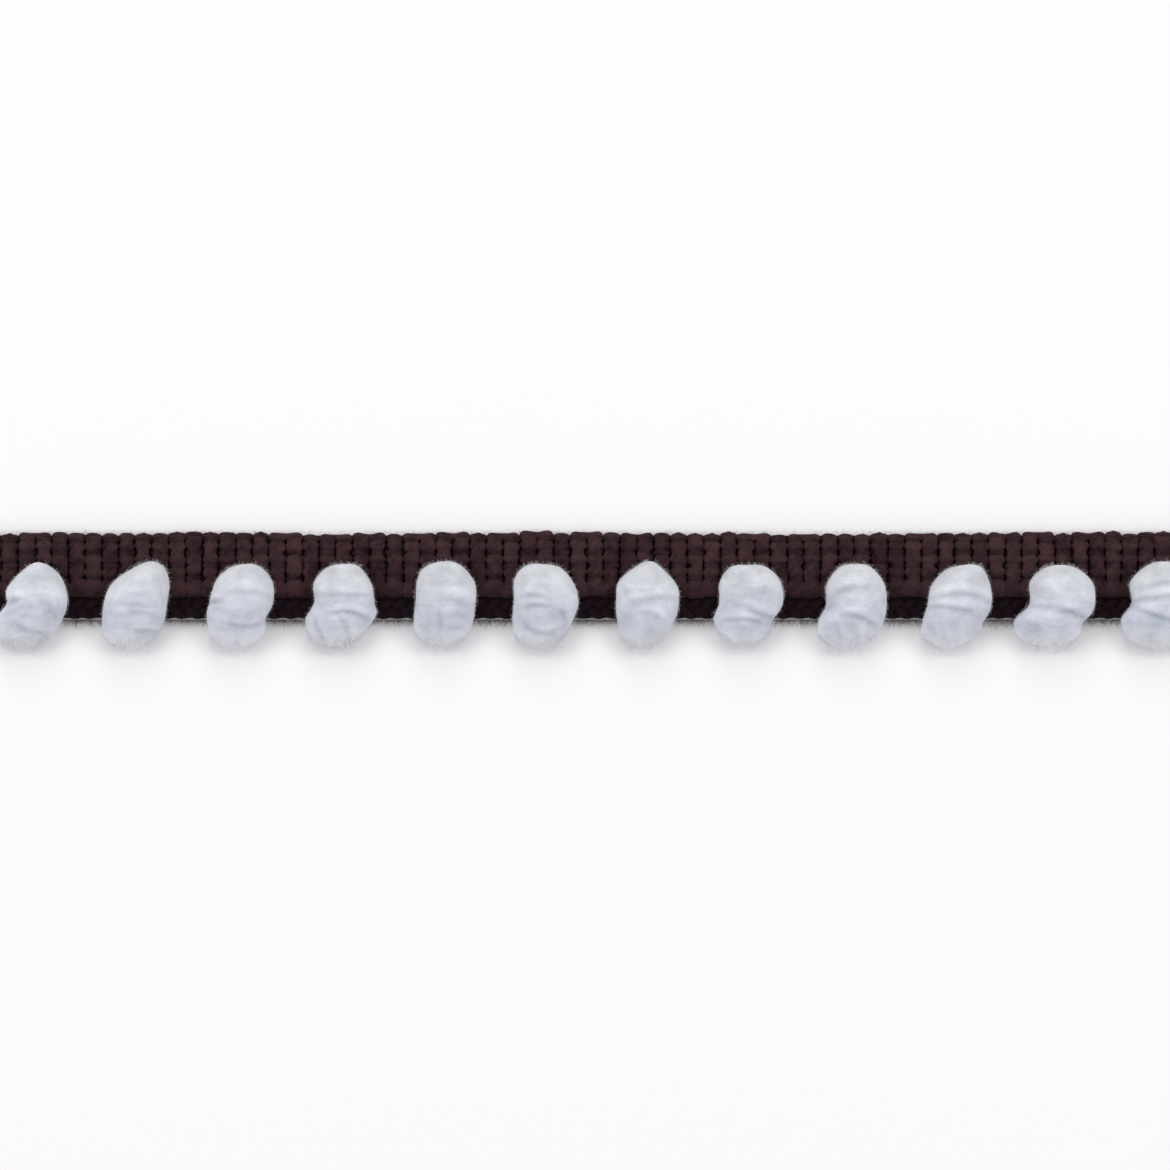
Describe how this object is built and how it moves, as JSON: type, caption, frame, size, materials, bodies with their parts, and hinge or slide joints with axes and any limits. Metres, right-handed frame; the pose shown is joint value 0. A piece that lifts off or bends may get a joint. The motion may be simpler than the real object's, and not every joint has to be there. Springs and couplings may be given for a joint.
{
  "type": "pompom fringe trim",
  "caption": "Flat length of dark brown woven braid with a narrow chain foot and soft pale blue tied pompoms at an even pitch, to be sewn or glued along an edge.",
  "frame": {"origin": "middle of the heading's flat back, where the trim is sewn or glued on", "axes": "+X along the trim, +Y across it from the pompoms to the heading's top edge, +Z out of its face"},
  "size_m": [0.1392, 0.0139, 0.0065],
  "materials": {
    "braid_yarn": "matt thick spun yarn",
    "chain_yarn": "matt spun yarn",
    "tow": "soft brushed tow"
  },
  "bodies": {
    "root": {"heading": "braid_yarn", "foot_chain": "chain_yarn", "pompom_01": "tow", "pompom_02": "tow", "pompom_03": "tow", "pompom_04": "tow", "pompom_05": "tow", "pompom_06": "tow", "pompom_07": "tow", "pompom_08": "tow", "pompom_09": "tow", "pompom_10": "tow", "pompom_11": "tow", "pompom_12": "tow"}
  },
  "joints": []
}
